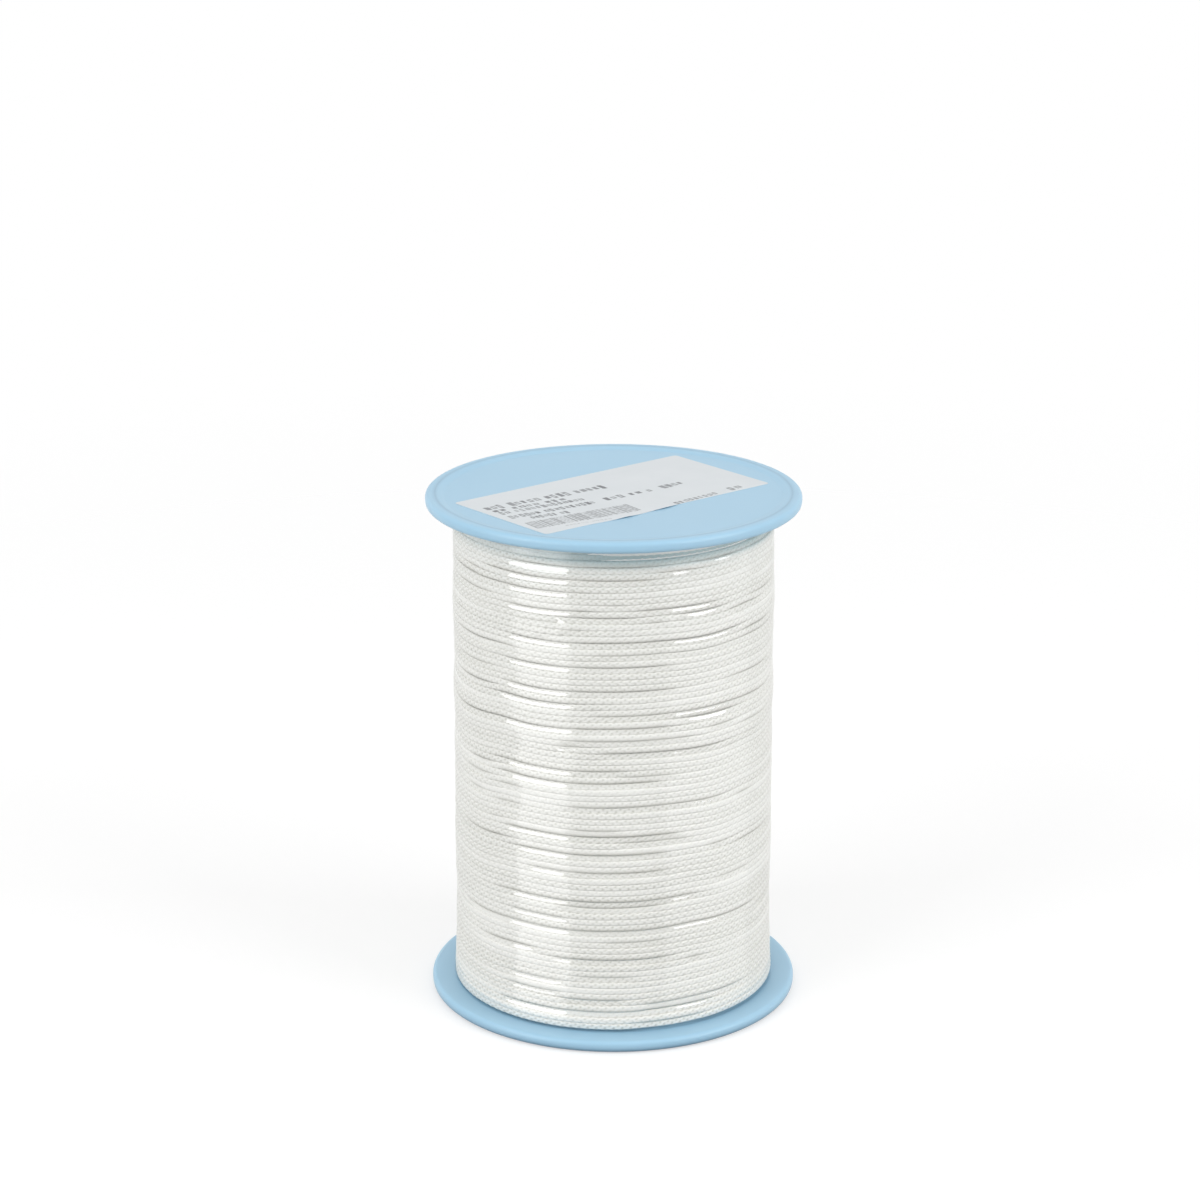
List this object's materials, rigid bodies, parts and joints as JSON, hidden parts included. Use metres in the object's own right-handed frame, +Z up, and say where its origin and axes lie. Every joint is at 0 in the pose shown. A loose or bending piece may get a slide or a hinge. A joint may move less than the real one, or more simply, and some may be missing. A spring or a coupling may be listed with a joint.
{
  "type": "cord reel",
  "caption": "Round-flanged reel of white braided cord, wound on a tube, wrapped in clear film, with a label on its upper flange.",
  "frame": {"origin": "middle of the face it stands on, on the reel's axis", "axes": "+Z up along the reel's axis, from the lower flange to the labelled upper flange; the label's long side runs 40 degrees round from +X"},
  "size_m": [0.095, 0.095, 0.133],
  "materials": {
    "flange_plastic": "satin moulded plastic, light blue",
    "tube_board": "wound brown cardboard",
    "tape": "crepe tape",
    "cord": "white braided polyamide",
    "clear_film": "clear glossy stretch film",
    "label_paper": "matt white label with grey print"
  },
  "bodies": {
    "root": {"lower_flange": "flange_plastic", "upper_flange": "flange_plastic", "core_tube": "tube_board", "cord_start_tape": "tape", "cord_inner_layers": "cord", "cord_outer_layer": "cord", "cord_last_turn": "cord", "film_wrap": "clear_film", "label": "label_paper"}
  },
  "joints": []
}
